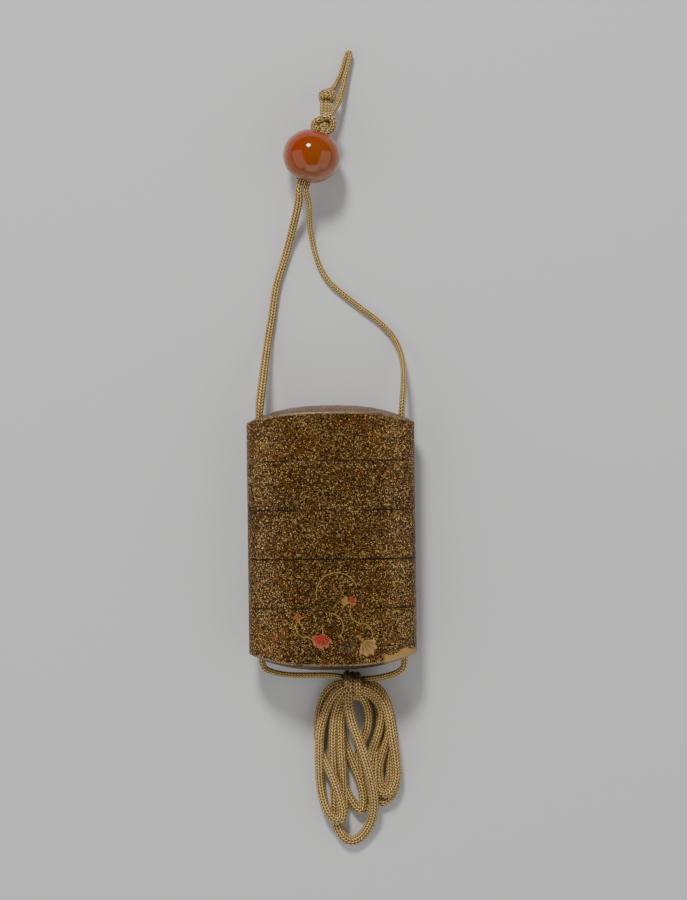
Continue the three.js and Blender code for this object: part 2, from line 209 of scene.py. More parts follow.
# The bow's loops, each with its cord's radius, from the knot, round its tip and back
BOW_LOOPS = {
    "bow_loop_left": (1.43, [
        (5.4, -47.6, 3.2), (2.6, -47.7, 2.4), (0, -48.7, 1.8), (-2.6, -51.1, 1.5),
        (-4.3, -55.2, 1.5), (-5.1, -60, 1.5), (-5.1, -65, 1.5), (-4.1, -69.8, 1.7),
        (-2.8, -73.2, 2.6), (-1, -77, 4.1), (0.6, -81, 4.7), (1.8, -85.2, 4.6),
        (2.5, -89, 4.2), (1.8, -91.3, 4), (0, -91.4, 3.8), (-2.1, -89.2, 3.3),
        (-3.7, -85.2, 2.5), (-4.6, -80.5, 2.2), (-4.9, -75, 3), (-4.9, -69, 4),
        (-4.5, -63, 4.3), (-3.4, -58.5, 4), (-1.5, -54, 3.8), (1, -50.4, 4),
        (3.5, -48.8, 4.2), (5.6, -48.4, 4.2),
    ]),
    "bow_loop_long": (1.53, [
        (5, -49.6, 4.6), (4.7, -52.2, 5.3), (5, -56, 5.9), (5.9, -60, 6.1),
        (7.2, -64, 6.5), (8.8, -68.2, 7), (10.1, -72.3, 7.1), (11.2, -76.2, 7),
        (12.1, -80.2, 6.3), (12.6, -84.3, 5.4), (12.6, -88.4, 4.1), (11.6, -92.2, 2.7),
        (9.8, -95.6, 1.8), (7.4, -98, 1.6), (4.8, -98.6, 1.6), (2.4, -97, 1.6),
        (0.9, -94.2, 1.6), (0.3, -90.8, 1.6), (0.2, -86.6, 1.6), (0.1, -82, 1.6),
        (0, -77, 1.7), (-0.3, -72, 2.6), (-0.4, -67, 3.5), (-0.2, -62, 4),
        (0.6, -57, 4.1), (2.1, -52.9, 4.2), (4, -50, 4.4), (5.6, -48.9, 4.4),
    ]),
    "bow_loop_middle": (1.47, [
        (6, -49.8, 1.9), (4.2, -52.8, 1.55), (2.9, -56.5, 1.55), (2.5, -61, 1.55),
        (3.1, -66, 1.55), (4.6, -70.2, 1.6), (6.5, -74.7, 2), (8.2, -79.2, 2.4),
        (9.1, -83.4, 2.5), (9.2, -86.6, 2.4), (8.5, -88.5, 2.2), (7.2, -88, 2),
        (5.2, -85.3, 1.7), (3.5, -82, 1.55), (2.3, -78.5, 1.55), (1.7, -74.5, 1.55),
        (1.2, -69, 1.55), (1.2, -63, 1.55), (1.9, -57, 1.55), (3.4, -52.8, 1.55),
        (5.4, -49.5, 1.9),
    ]),
    "bow_loop_pair": (1.43, [
        (6, -49.6, 4.6), (4.3, -52.2, 4.2), (3, -56, 4.1), (2.3, -61, 4),
        (2.3, -66, 4), (2.4, -71, 3.9), (2.7, -76, 3.4), (2.8, -80.5, 2.3),
        (2.9, -85, 1.6), (3, -88.5, 1.5), (2.2, -89.8, 1.5), (1.6, -88.4, 1.5),
    ]),
    "bow_loop_inner": (1.43, [
        (7.6, -50, 5), (9, -51.6, 4.8), (10.4, -54.3, 4.4), (11.1, -58, 4),
        (10.8, -62, 3.5), (9.5, -65.6, 2.6), (8.2, -69.3, 1.6), (8, -73, 1.5),
        (8.8, -77.5, 1.5), (9.8, -82.5, 1.5), (10.5, -87, 1.5), (11.4, -88.1, 1.5),
        (12.2, -86.4, 1.5), (12.1, -81.5, 1.5), (11.8, -77, 1.5), (11.8, -73, 1.7),
        (12.6, -69, 2.5), (13.9, -65, 3.8), (15.1, -61, 4.3), (15.6, -57.2, 4.6),
        (14.6, -54, 4.7), (12.3, -51.5, 4.7), (9.8, -50, 4.9), (7.8, -49.2, 5),
    ]),
    "bow_loop_slot": (1.43, [
        (8, -49, 3.4), (11, -49.4, 3.5), (13.6, -50.6, 3.6), (15.9, -53, 3.7),
        (17.4, -56.6, 3.8), (18, -60.6, 3.8), (17.7, -64, 3.7), (16.7, -67.4, 3.2),
        (15.6, -71, 2.5), (14.6, -74.6, 1.9), (14.6, -78, 1.6), (15.5, -80.7, 1.6),
        (16.9, -81.3, 1.6), (17.9, -79.5, 1.6), (18.1, -76, 1.6), (18.3, -72, 1.6),
        (18.5, -67.5, 1.5), (18.2, -63, 1.5), (17.3, -58, 1.5), (15.7, -53.8, 1.5),
        (13, -50.8, 1.6), (9.6, -49, 2.1),
    ]),
    "bow_loop_right": (1.53, [
        (7.6, -48.3, 4.8), (10, -48.6, 5.3), (12.6, -49.6, 5.9), (15, -51.6, 6.4),
        (16.8, -54.7, 6.7), (17.8, -58.5, 6.8), (18.5, -63.3, 6.4), (19.3, -68.3, 5.4),
        (19.9, -73.3, 4.5), (20, -77.2, 4), (19.2, -80.5, 3.7), (17.6, -82.8, 3.5),
        (15.4, -83.4, 2.8), (13.9, -81.6, 1.8), (13.3, -78.5, 1.6), (13.3, -74, 1.6),
        (13.8, -69, 1.6), (14.3, -64, 1.6), (14.6, -59, 1.6), (14, -55.2, 1.6),
        (12.2, -52.2, 1.6), (9.4, -49.8, 1.8),
    ]),
    "bow_loop_under": (1.4, [
        (7.4, -47.8, 1.8), (10.4, -47.7, 1.6), (12.9, -48.4, 1.5), (15.2, -50.3, 1.5),
        (17, -53.4, 1.5), (18.2, -57.4, 1.5), (19, -62, 1.5), (19.6, -68, 1.5),
        (20, -74, 1.5), (20, -79, 1.5), (19.2, -82.4, 1.5), (17.6, -85, 1.5),
        (15.3, -86.2, 1.5), (13, -85.4, 1.5),
    ]),
}

# Knots are made of short turns of the same cord
BOW_KNOT_TURNS = [
    [(4.5, -45.2, 2, 1.1), (4.4, -44.4, 3.4, 1.12), (4.5, -44.6, 5.4, 1.12),
     (4.6, -45.6, 6.4, 1.12), (4.6, -46.8, 6, 1.1), (4.7, -47.8, 4.6, 1.05)],
    [(6.2, -45.5, 2, 1.05), (6.2, -44.7, 3.6, 1.08), (6.2, -44.9, 5.2, 1.08),
     (6.2, -45.9, 5.9, 1.12), (6.1, -47.2, 5.8, 1.18), (6, -48.8, 5.6, 1.18),
     (5.9, -50.3, 4.6, 1.1)],
    [(7.7, -45.7, 1.9, 1.08), (7.8, -44.9, 3.6, 1.1), (7.8, -45.1, 5.8, 1.12),
     (7.8, -46.3, 7, 1.12), (7.8, -47.9, 7.2, 1.12), (7.8, -49.6, 6.6, 1.1),
     (7.7, -50.8, 5.2, 1.08), (7.5, -51.3, 3.4, 1.05), (7.4, -50.4, 2, 1)],
    [(4.8, -49.5, 5.4, 0.95), (5.8, -51, 5.7, 0.98), (7, -51.8, 5.5, 0.98),
     (8.5, -51.9, 5.2, 0.98), (9.5, -51.2, 5, 0.95), (10, -50.1, 4.6, 0.95)],
]
UPPER_KNOT_TURNS = [
    [(-1.3, 141.3, 3.6, 0.8), (-1.7, 142.2, 4.8, 0.82), (-1.5, 143.3, 6, 0.82),
     (-0.4, 143.8, 6.9, 0.82), (0.9, 143.8, 7, 0.82), (2, 143.1, 6.4, 0.82),
     (2.3, 142.2, 5.2, 0.82), (1.8, 141.6, 3.8, 0.8)],
    [(-1.6, 141, 4.6, 0.8), (-1.4, 141.9, 6.2, 0.82), (-0.7, 142.5, 7.3, 0.84),
     (0.5, 142.5, 7.4, 0.84), (1.5, 142.1, 6.8, 0.84), (1.9, 141.4, 5.4, 0.82),
     (1.5, 140.9, 4.2, 0.8)],
    [(-0.8, 142.9, 2.4, 0.8), (0.2, 144.2, 1.7, 0.8), (1.5, 144.2, 1.6, 0.8),
     (2.3, 143.2, 2, 0.8), (2.1, 141.8, 2.8, 0.8), (0.8, 141.1, 3, 0.8)],
]
LOWER_KNOT_TURNS = [
    [(-1.2, 133.6, 6.4, 1), (-1.2, 134.6, 8.2, 1.1), (-0.4, 135.3, 9.4, 1.16),
     (0.8, 135.3, 9.7, 1.16), (1.8, 134.5, 9.6, 1.14), (2.1, 133.2, 9.3, 1.1),
     (1.8, 131.9, 9, 1.08), (0.9, 130.9, 8.8, 1.04), (-0.1, 130.4, 8.8, 1)],
    [(-1.3, 133.6, 7.4, 0.95), (-1.7, 134.5, 8.6, 1.05), (-2.7, 134.4, 9.3, 1.12),
     (-3.8, 133.6, 9.1, 1.08), (-4.2, 132.3, 8.9, 1.05), (-4.1, 131, 8.9, 1),
     (-3.6, 130.2, 8.9, 0.95)],
    [(-3, 131.1, 8.2, 0.9), (-2.2, 132, 8.8, 0.85), (-0.9, 132.7, 8.9, 0.82),
     (0.3, 133.2, 8.1, 0.85), (1.1, 134.1, 7, 0.85)],
    [(-1.9, 130.3, 8.4, 0.85), (-1.5, 131.4, 8.2, 0.85), (-0.6, 131.9, 7.6, 0.85),
     (0.7, 132.1, 7, 0.85)],
    [(-2.7, 133.4, 6, 0.9), (-1.5, 134.4, 5.4, 0.9), (0.1, 134.9, 5.4, 0.9),
     (1.2, 134.1, 5.6, 0.9), (1.2, 132.4, 6.2, 0.9), (-0.3, 131.4, 6.4, 0.9)],
]


# ---------------------------------------------------------------- settings
def length(name, description, millimetres):
    return FloatProperty(
        name=name, description=description, default=millimetres * MM, unit="LENGTH", precision=5,
    )


def power(name, description, watts):
    return FloatProperty(name=name, description=description, default=watts, min=0, unit="POWER")


def colour(name, description, default):
    return FloatVectorProperty(
        name=name, description=description, subtype="COLOR", default=default, min=0, max=1,
    )


def columns_round(name, description, default):
    return IntProperty(name=name, description=description, default=default, min=4)


class InroCaseSettings(bpy.types.PropertyGroup):
    half_width: length("Half Width", "Half of the case's width", HALF_WIDTH)
    edge: length("Edge Rounding", "Rounding where two pieces meet", 0.12)
    shoulder: length("Shoulder Rounding", "Rounding round both domed ends", 0.45)
    channel: length("Cord Channel", "Radius of the two cord channels", 1.6)
    flake: length("Flake Size", "Spacing of the gold flakes in the lacquer", 0.3)
    ground: colour("Ground", "Lacquer under the flakes", (0.008, 0.004, 0.002))
    gold: colour("Gold Flakes", "Most of the flakes", (0.48, 0.265, 0.07))
    orange: colour("Orange Flakes", "Flakes seen through deeper lacquer", (0.42, 0.16, 0.02))
    red: colour("Red Lacquer", "Red in the painted spray", (0.5, 0.06, 0.03))


class InroCordSettings(bpy.types.PropertyGroup):
    columns: columns_round("Columns", "Columns of stitches round the bow's cord", 10)
    thin_columns: columns_round(
        "Thin Columns", "Columns of stitches round the cord where it is drawn thin", 8)
    stitch: length("Stitch Length", "Length of a stitch along the cord", 1)
    relief: length("Relief", "Height of a stitch above its groove", 0.18)
    thread: colour("Silk", "Faded gold of the silk", (0.5, 0.3, 0.075))
    # Painted shade: the colour that the grooves between the stitches are darkened to
    groove_shade: colour("Silk in the Grooves", "Darker silk between the stitches", (0.085, 0.04, 0.008))


class InroBeadSettings(bpy.types.PropertyGroup):
    radius: length("Radius", "Of the bead across its hole", 9.32)
    half_length: length("Half Length", "Half of the bead's length along its hole", 8.7)
    hole: length("Hole", "Radius of the cord hole", 2.8)
    core: colour("Core", "Deep orange of the stone", (0.27, 0.055, 0.0015))
    # This pale colour is also painted round the bead's rim, partly as a painted reflection
    rim: colour("Milky Band", "Pale pinkish band of the stone", (0.34, 0.15, 0.08))


class InroStudioSettings(bpy.types.PropertyGroup):
    floor: colour("Floor", "Plain pale floor", (0.66, 0.66, 0.65))
    key: power("Key Power", "Of the softbox beyond the bead, in watts", 15)
    sides: power("Side Power", "Of each long softbox, in watts", 11)
    sky: FloatProperty(
        name="Room Light", description="Strength of the even light", default=0.12, min=0,
    )


# ---------------------------------------------------------------- helpers for node trees
def maths(operation):
    """A method that puts a maths node after a value."""

    def apply(self, *others):
        node = self.tree.nodes.new("ShaderNodeMath")
        node.operation = operation
        for socket, value in zip(node.inputs, (self, *others)):
            connect(self.tree, value, socket)
        return Term(self.tree, node.outputs[0])

    return apply


class Term:
    """A value in a node tree, so that a formula in the tree reads as a formula here."""

    def __init__(self, tree, socket):
        self.tree = tree
        self.socket = socket

    __add__ = __radd__ = maths("ADD")
    __sub__ = maths("SUBTRACT")
    __mul__ = __rmul__ = maths("MULTIPLY")
    __truediv__ = maths("DIVIDE")
    __pow__ = maths("POWER")
    __abs__ = maths("ABSOLUTE")
    fract = maths("FRACT")
    floor = maths("FLOOR")
    cos = maths("COSINE")
    sin = maths("SINE")
    arctan2 = maths("ARCTAN2")
    maximum = maths("MAXIMUM")

    def __rsub__(self, other):
        return self * -1.0 + other

    def between(self, low, high):
        """0 at low and 1 at high, easing between them."""
        node = add_node(
            self.tree, "ShaderNodeMapRange", {"Value": self, "From Min": low, "From Max": high},
            interpolation_type="SMOOTHSTEP",
        )
        return Term(self.tree, node.outputs["Result"])


def connect(tree, value, socket):
    """Puts a Term, a node's output or a plain number into a socket."""
    if isinstance(value, Term):
        value = value.socket
    if isinstance(value, bpy.types.NodeSocket):
        tree.links.new(value, socket)
    else:
        socket.default_value = value


def fill(tree, node, inputs):
    """Puts values into a node's inputs by name."""
    for name, value in dict(inputs).items():
        connect(tree, value, node.inputs[name])


def add_node(tree, kind, inputs=(), **settings):
    """A node with its settings and its inputs by name."""
    node = tree.nodes.new(kind)
    for name, value in settings.items():
        setattr(node, name, value)
    fill(tree, node, inputs)
    return node


def parts_of(tree, vector, kind="ShaderNodeSeparateXYZ", name="Vector"):
    """The three numbers in a vector or a colour."""
    return [Term(tree, s) for s in add_node(tree, kind, {name: vector}).outputs]


def rgba(colour_):
    return (*colour_[:3], 1.0)


def faded(colour_, share):
    return [c * share for c in colour_]


def blend_colour(tree, factor, first, second, mode="MIX"):
    """Mixes two colours, given as sockets or plain colours."""
    node = add_node(tree, "ShaderNodeMix", {"Factor": factor}, data_type="RGBA", blend_type=mode)
    colour_inputs = [s for s in node.inputs if s.type == "RGBA"]
    for socket, value in zip(colour_inputs, (first, second)):
        plain = not isinstance(value, (Term, bpy.types.NodeSocket))
        connect(tree, rgba(value) if plain else value, socket)
    return next(s for s in node.outputs if s.type == "RGBA")


def noise(tree, place, scale, detail=3.0, roughness=0.5, distortion=0.0):
    node = add_node(
        tree, "ShaderNodeTexNoise",
        {"Vector": place, "Scale": scale, "Detail": detail, "Roughness": roughness,
         "Distortion": distortion},
    )
    return Term(tree, node.outputs["Fac"])


def cells(tree, place, scale):
    """Irregular cells: the distance to each one's middle, and three random numbers for it."""
    node = add_node(tree, "ShaderNodeTexVoronoi", {"Vector": place, "Scale": scale})
    numbers = parts_of(tree, node.outputs["Color"], "ShaderNodeSeparateColor", "Color")
    return Term(tree, node.outputs["Distance"]), numbers


def bump(tree, height, strength, distance):
    """A normal that follows a height. The distance is in millimetres."""
    node = add_node(
        tree, "ShaderNodeBump",
        {"Strength": strength, "Distance": distance * MM, "Height": height},
    )
    return node.outputs["Normal"]


def finish(name):
    """Lets a function that builds a material build it only once.

    The function gets the material's tree, its shader and its object coordinates.
    """

    def once(build):
        def give():
            if name in bpy.data.materials:
                return bpy.data.materials[name]
            material = bpy.data.materials.new(name)
            material.use_nodes = True
            tree = material.node_tree
            tree.nodes.clear()
            shader = add_node(tree, "ShaderNodeBsdfPrincipled")
            add_node(tree, "ShaderNodeOutputMaterial", {"Surface": shader.outputs["BSDF"]})
            build(tree, shader, add_node(tree, "ShaderNodeTexCoord").outputs["Object"])
            return material

        give.__doc__ = build.__doc__
        return give

    return once


# ---------------------------------------------------------------- helpers for pieces
def link(object_):
    bpy.context.scene.collection.objects.link(object_)
    return object_


def plain_copy(object_):
    """Turns an object with live modifiers into a plain mesh of the same name."""
    graph = bpy.context.evaluated_depsgraph_get()
    mesh = bpy.data.meshes.new_from_object(object_.evaluated_get(graph), depsgraph=graph)
    mesh.name = object_.name
    object_.modifiers.clear()
    object_.data = mesh
    return object_


def mesh_piece(name, vertices, faces):
    mesh = bpy.data.meshes.new(name)
    mesh.from_pydata([tuple(v) for v in vertices], [], faces)
    mesh.validate()
    mesh.update()
    return link(bpy.data.objects.new(name, mesh))


def shade(mesh, sharp_degrees):
    """Smooth shading that stays sharp at steeper edges."""
    mesh.shade_smooth()
    mesh.set_sharp_from_angle(angle=math.radians(sharp_degrees))


def band_faces(count, bands):
    """Faces between rings of count points, for pairs of the rings' numbers."""
    faces = []
    for a, b in bands:
        for i in range(count):
            j = (i + 1) % count
            faces.append((a * count + i, a * count + j, b * count + j, b * count + i))
    return faces


def turned(profile, count):
    """Rings of points round the Y axis, for radii and places along it."""
    turns = 2 * math.pi * np.arange(count) / count
    return np.array([
        (radius * math.cos(t), along, radius * math.sin(t)) for radius, along in profile
        for t in turns
    ])


def belongs(piece, material_slot, *nodes):
    """States the body that a piece rides on, its slot and the CAD nodes it stands for."""
    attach(piece, BODY)
    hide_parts(*nodes)


def smooth_path(points, step):
    """Points evenly along a centripetal Catmull-Rom curve through the given ones."""
    knots = np.array(points, float)
    ends = [2 * knots[0] - knots[1], 2 * knots[-1] - knots[-2]]
    knots = np.vstack([ends[0], knots, ends[1]])
    pieces = []
    for i in range(1, len(knots) - 2):
        p0, p1, p2, p3 = knots[i - 1 : i + 3]
        gaps = [
            max(1e-6, np.linalg.norm((b - a)[:3])) ** 0.5
            for a, b in ((p0, p1), (p1, p2), (p2, p3))
        ]
        t0, t1 = 0.0, gaps[0]
        t2 = t1 + gaps[1]
        t3 = t2 + gaps[2]
        count = max(2, int(np.linalg.norm((p2 - p1)[:3]) / step * 2))
        for t in np.linspace(t1, t2, count, endpoint=False):
            a1 = (t1 - t) / (t1 - t0) * p0 + (t - t0) / (t1 - t0) * p1
            a2 = (t2 - t) / (t2 - t1) * p1 + (t - t1) / (t2 - t1) * p2
            a3 = (t3 - t) / (t3 - t2) * p2 + (t - t2) / (t3 - t2) * p3
            b1 = (t2 - t) / (t2 - t0) * a1 + (t - t0) / (t2 - t0) * a2
            b2 = (t3 - t) / (t3 - t1) * a2 + (t - t1) / (t3 - t1) * a3
            pieces.append((t2 - t) / (t2 - t1) * b1 + (t - t1) / (t2 - t1) * b2)
    pieces.append(knots[-2])
    pieces = np.array(pieces)
    gaps = np.linalg.norm(np.diff(pieces[:, :3], axis=0), axis=1)
    run = np.concatenate([[0], np.cumsum(gaps)])
    count = max(3, int(round(run[-1] / step)) + 1)
    even = np.linspace(0, run[-1], count)
    return np.column_stack([np.interp(even, run, pieces[:, k]) for k in range(pieces.shape[1])])


# ---------------------------------------------------------------- the braid
def captured(tree, geometry, items):
    """Geometry that carries values along, each given as its type, its name and its socket."""
    keep = add_node(tree, "GeometryNodeCaptureAttribute", {"Geometry": geometry})
    for kind, name, socket in items:
        keep.capture_items.new(kind, name)
        connect(tree, socket, keep.inputs[name])
    return keep.outputs


def vector_maths(tree, operation, inputs):
    return add_node(tree, "ShaderNodeVectorMath", inputs, operation=operation).outputs[0]


def braid_tree():
    """A tree that turns lines into braided cord, with its stitches in the mesh."""
    tree = bpy.data.node_groups.get("Braided Cord")
    if tree:
        return tree
    tree = bpy.data.node_groups.new("Braided Cord", "GeometryNodeTree")
    for name, kind in (
        ("Lines", "Geometry"), ("Stitch Length", "Float"), ("Columns", "Int"),
        ("Relief", "Float"), ("Sides", "Int"), ("Step", "Float"), ("Finish", "Material"),
    ):
        tree.interface.new_socket(name, in_out="INPUT", socket_type=f"NodeSocket{kind}")
    tree.interface.new_socket("Cord", in_out="OUTPUT", socket_type="NodeSocketGeometry")
    given = add_node(tree, "NodeGroupInput").outputs
    line = add_node(tree, "GeometryNodeMeshToCurve", {"Mesh": given["Lines"]})
    thick = add_node(tree, "GeometryNodeInputNamedAttribute", {"Name": "half"}, data_type="FLOAT")
    fine = add_node(
        tree, "GeometryNodeResampleCurve",
        {"Curve": line.outputs["Curve"], "Length": given["Step"]}, mode="LENGTH",
    )
    middle = captured(tree, fine.outputs["Curve"], (
        ("FLOAT", "Run", add_node(tree, "GeometryNodeSplineParameter").outputs["Length"]),
        ("VECTOR", "Middle", add_node(tree, "GeometryNodeInputPosition").outputs["Position"]),
    ))
    ring_ = add_node(
        tree, "GeometryNodeCurvePrimitiveCircle", {"Resolution": given["Sides"], "Radius": 1.0},
    )
    rim = captured(tree, ring_.outputs["Curve"], (
        ("FLOAT", "Turn", add_node(tree, "GeometryNodeSplineParameter").outputs["Factor"]),
    ))
    tube = add_node(
        tree, "GeometryNodeCurveToMesh",
        {"Curve": middle["Geometry"], "Profile Curve": rim["Geometry"],
         "Scale": thick.outputs["Attribute"], "Fill Caps": True},
    )
    run = Term(tree, middle["Run"]) / given["Stitch Length"]
    turn = Term(tree, rim["Turn"])
    height = stitches(run, turn, given["Columns"])[2]
    place = add_node(tree, "GeometryNodeInputPosition").outputs["Position"]
    outward = vector_maths(tree, "SUBTRACT", {0: place, 1: middle["Middle"]})
    unit = vector_maths(tree, "NORMALIZE", {0: outward})
    lift = vector_maths(
        tree, "SCALE", {0: unit, "Scale": (height - STITCH_SUNK) * given["Relief"]})
    raised = add_node(
        tree, "GeometryNodeSetPosition", {"Geometry": tube.outputs["Mesh"], "Offset": lift})
    # A vector without a seam: its length is the columns, its angle the turn round the cord
    angle = turn * (2 * math.pi)
    count = Term(tree, given["Columns"])
    weave = add_node(
        tree, "ShaderNodeCombineXYZ",
        {"X": angle.cos() * count, "Y": angle.sin() * count, "Z": run},
    )
    stored = add_node(
        tree, "GeometryNodeStoreNamedAttribute",
        {"Geometry": raised.outputs["Geometry"], "Name": "weave",
         "Value": weave.outputs["Vector"]},
        data_type="FLOAT_VECTOR", domain="POINT",
    )
    geometry = stored.outputs["Geometry"]
    for kind, inputs in (
        ("SetShadeSmooth", {}), ("RealizeInstances", {}),
        ("SetMaterial", {"Material": given["Finish"]}),
    ):
        node = add_node(tree, f"GeometryNode{kind}", {"Geometry": geometry, **inputs})
        geometry = node.outputs["Geometry"]
    add_node(tree, "NodeGroupOutput", {"Cord": geometry})
    return tree


def stitches(run, turn, columns):
    """A point's column, its place along the stitches, and its height from 0 to 1.

    Stitches slant opposite ways in every other column.
    """
    column = turn * columns
    across = column.fract() - 0.5
    side = (column.floor() * 0.5).fract() * 4.0 - 1.0
    phase = run + side * across
    ridge = abs((phase * math.pi).cos()) ** 0.7
    edge = abs(across * 2.0)
    return column.floor(), phase, ridge * (1.0 - edge * edge * 0.7)


def braid(name, lines, columns):
    """Braided cord along lines of points with a radius each, as one plain mesh."""
    cord = bpy.context.scene.inro_cord
    vertices, edges, halves = [], [], []
    for line in lines:
        first = len(vertices)
        vertices += [tuple(p[:3]) for p in line]
        halves += [p[3] for p in line]
        edges += [(first + i, first + i + 1) for i in range(len(line) - 1)]
    mesh = bpy.data.meshes.new(name)
    mesh.from_pydata(vertices, edges, [])
    mesh.attributes.new("half", "FLOAT", "POINT").data.foreach_set("value", halves)
    piece = link(bpy.data.objects.new(name, mesh))
    modifier = piece.modifiers.new("Braid", "NODES")
    modifier.node_group = braid_tree()
    values = {
        "Stitch Length": cord.stitch, "Columns": columns, "Relief": cord.relief,
        "Sides": BRAID_SIDES, "Step": BRAID_STEP * MM, "Finish": silk(),
    }
    for item in modifier.node_group.interface.items_tree:
        if item.name in values:
            modifier[item.identifier] = values[item.name]
    plain_copy(piece)
    if not len(piece.data.polygons):
        raise RuntimeError(f"{name} came out empty")
    return piece


def path_through(points, step):
    """Even points, in metres, along a curve through points in millimetres."""
    return smooth_path([tuple(v * MM for v in point) for point in points], step * MM)


def braided_cord(name, points, columns, replaced, **facts):
    """One free cord along its points, and what it says about itself."""
    path = path_through(points, CORD_STEP)
    piece = braid(name, [path], columns)
    belongs(piece, "silk_cord", *replaced)
    line = [tuple(point) for point in path_through(points, PATH_STEP)[:, :3].tolist()]


def short_cords(name, lines, step, node):
    """Short lengths of cord as one piece, such as a knot's turns."""
    paths = [path_through(points, step) for points in lines]
    belongs(braid(name, paths, bpy.context.scene.inro_cord.thin_columns), "silk_cord", node)


# ---------------------------------------------------------------- finishes
@finish("Braided Silk")
def silk(tree, shader, place):
    """Faded gold silk: slanted stitches of fine filaments, darker in the grooves."""
    cord = bpy.context.scene.inro_cord
    weave = add_node(tree, "ShaderNodeAttribute", attribute_name="weave")
    x, y, run = parts_of(tree, weave.outputs["Vector"])
    turn = (y.arctan2(x) / (2 * math.pi) + 1.0).fract()
    column, phase, height = stitches(run, turn, ((x * x + y * y) ** 0.5 + 0.5).floor())
    filaments = (phase * (2 * math.pi * 5.0)).sin() * 0.5 + 0.5
    stitch = add_node(tree, "ShaderNodeCombineXYZ", {"X": column, "Y": (phase + 0.5).floor()})
    random = add_node(
        tree, "ShaderNodeTexWhiteNoise", {"Vector": stitch.outputs[0]}, noise_dimensions="3D")
    chance = Term(tree, random.outputs["Value"])
    uneven = blend_colour(tree, noise(tree, place, 160.0), cord.thread, faded(cord.thread, 0.7))
    toned = blend_colour(tree, chance * 0.45, uneven, (0.62, 0.41, 0.13))
    stains = noise(tree, place, 900.0, 4.0).between(0.54, 0.72)
    aged = blend_colour(tree, stains * 0.6, toned, (0.16, 0.07, 0.02))
    # Painted shade: the silk darkens towards the grooves between the stitches
    shaded = blend_colour(tree, height.between(0.22, 0.8), cord.groove_shade, aged)
    # Painted highlight: the tops of the stitches are lightened towards pale gold
    tip_highlight = height.between(0.7, 0.95) * (0.55 + chance * 0.45)
    lit = blend_colour(tree, tip_highlight, shaded, (0.98, 0.74, 0.34))
    # Painted shadow: the silk on top of the bow's knot is darkened where the case shades it
    across, along = (part / MM for part in parts_of(tree, place)[:2])
    knot_painted_shadow = along.between(-47.8, -45.6) * along.between(-41.5, -42.5)
    knot_painted_shadow = knot_painted_shadow * abs(across - 6.2).between(4.4, 2.8)
    fill(tree, shader, {
        "Base Color": blend_colour(tree, knot_painted_shadow * 0.8, lit, (0.022, 0.011, 0.004)),
        "Roughness": 0.4 + filaments * 0.1,
        "Normal": bump(tree, height * 0.8 + filaments * 0.35, 0.5, 0.04),
        "Sheen Weight": 0.06, "Sheen Roughness": 0.4, "Sheen Tint": rgba((0.9, 0.66, 0.3)),
        "Specular IOR Level": 0.3,
    })


def leaf(x, y, foot, turn, reach, spread, lobes):
    """A lobed leaf on a stalk: its body, stalk and veins, and how far out a point lies."""
    dx, dy = x - foot[0], y - foot[1]
    u = dx * math.cos(turn) + dy * math.sin(turn)
    v = dy * math.cos(turn) - dx * math.sin(turn)
    share = v.arctan2(u) / spread
    radius = (u * u + v * v) ** 0.5 / reach
    lobe = abs((share * (math.pi * lobes / 2)).cos())
    outline = (1.0 - share * share * 0.34) * (0.8 + lobe ** 0.6 * 0.2)
    out = radius / outline
    body = out.between(1.04, 0.94) * abs(share).between(1.0, 0.88)
    fine_veins = abs((share * (math.pi * lobes * 2)).sin()) ** 0.5
    veins = lobe.between(0.9, 1.0) * 0.7 + fine_veins * 0.3
    stalk = abs(v + u * u * 0.12).between(0.2, 0.1) * abs(u + 1.0).between(1.6, 1.4)
    return body, stalk, veins, out


def tendril(x, y, centre, radius, middle, half):
    """Part of a ring: a thin line round centre, half an angle either side of middle."""
    dx, dy = x - centre[0], y - centre[1]
    distance = (dx * dx + dy * dy) ** 0.5
    line = abs(distance - radius).between(TENDRIL_WIDTH, TENDRIL_WIDTH * 0.45)
    facing = (dx * math.cos(middle) + dy * math.sin(middle)) / distance
    return line * facing.between(math.cos(half) - 0.004, math.cos(half))


